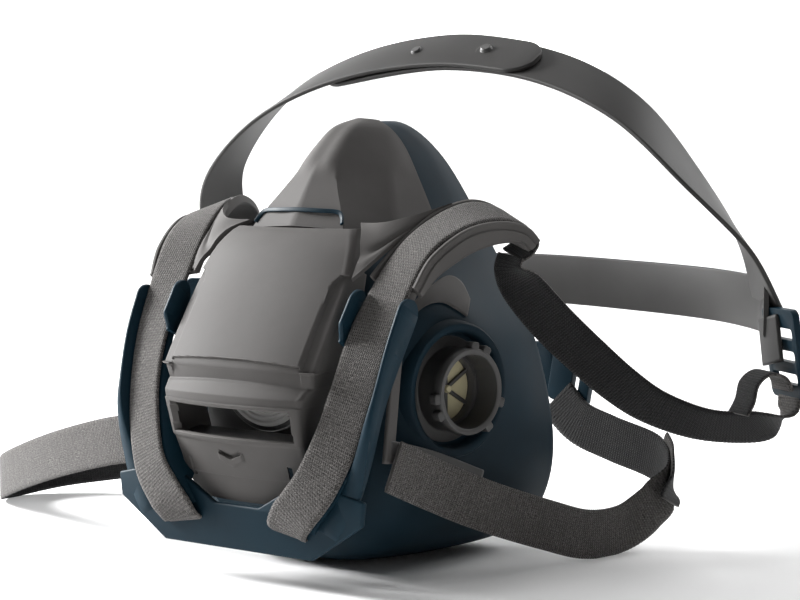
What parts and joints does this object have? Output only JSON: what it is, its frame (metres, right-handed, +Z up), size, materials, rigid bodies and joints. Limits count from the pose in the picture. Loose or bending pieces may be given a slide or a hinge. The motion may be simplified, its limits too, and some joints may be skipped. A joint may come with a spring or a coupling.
{
  "type": "half-mask respirator",
  "caption": "Half-mask respirator: soft facepiece, drop-down strap latch, two bayonet ports, covered exhalation valve, head cradle and neck strap.",
  "frame": {"origin": "under the chin, in the mirror plane of the mask, on the surface it stands on", "axes": "+X to the wearer's left, -Y to the front of the mask, +Z up"},
  "size_m": [0.3634, 0.2204, 0.2094],
  "materials": {
    "silicone": "matte dark teal silicone",
    "teal_plastic": "satin dark teal moulded plastic",
    "grey_plastic": "matte warm grey moulded plastic",
    "dark_plastic": "matte charcoal moulded plastic",
    "valve_white": "soft off-white valve rubber",
    "valve_cream": "soft cream valve rubber",
    "webbing": "heather grey woven elastic, darker behind"
  },
  "bodies": {
    "root": {"facepiece": "silicone", "valve_housing": "dark_plastic", "exhalation_valve_seat": "dark_plastic", "exhalation_valve_flap": "valve_white", "bayonet_left": "dark_plastic", "bayonet_right": "dark_plastic", "inhalation_valve_left": "valve_cream", "inhalation_valve_right": "valve_cream", "side_fin_left": "grey_plastic", "side_fin_right": "grey_plastic", "latch_pin_left": "dark_plastic", "latch_pin_right": "dark_plastic", "front_strap_upper_left": "webbing", "front_strap_upper_right": "webbing", "strap_bar_left": "grey_plastic", "strap_bar_right": "grey_plastic", "neck_strap_left": "webbing", "neck_strap_right": "webbing", "clasp_hook": "teal_plastic", "clasp_socket": "teal_plastic", "nose_shell": "grey_plastic", "yoke_arm_left": "grey_plastic", "yoke_arm_right": "grey_plastic", "yoke_shoulder_left": "grey_plastic", "yoke_shoulder_right": "grey_plastic", "side_rail_left": "grey_plastic", "side_rail_right": "grey_plastic", "strap_hanger_left": "grey_plastic", "strap_hanger_right": "grey_plastic", "valve_cover": "grey_plastic"},
    "latch": {"latch": "teal_plastic", "front_strap_lower_left": "webbing", "front_strap_lower_right": "webbing"},
    "harness": {"head_cradle": "grey_plastic", "crown_studs": "dark_plastic", "buckle_left": "teal_plastic", "buckle_right": "teal_plastic", "rear_strap_left": "webbing", "rear_strap_right": "webbing", "strap_tail_left": "webbing", "strap_tail_right": "webbing"}
  },
  "joints": [
    {"name": "latch_drop", "type": "hinge", "parent": "root", "child": "latch", "pos_m": [0, -0.047, 0.103], "axis": [-1, 0, 0], "range_deg": [0, 45]},
    {"name": "harness_swing", "type": "hinge", "parent": "root", "child": "harness", "pos_m": [0, 0.01, 0.1274], "axis": [1, 0, 0], "range_deg": [-8, 30]}
  ]
}
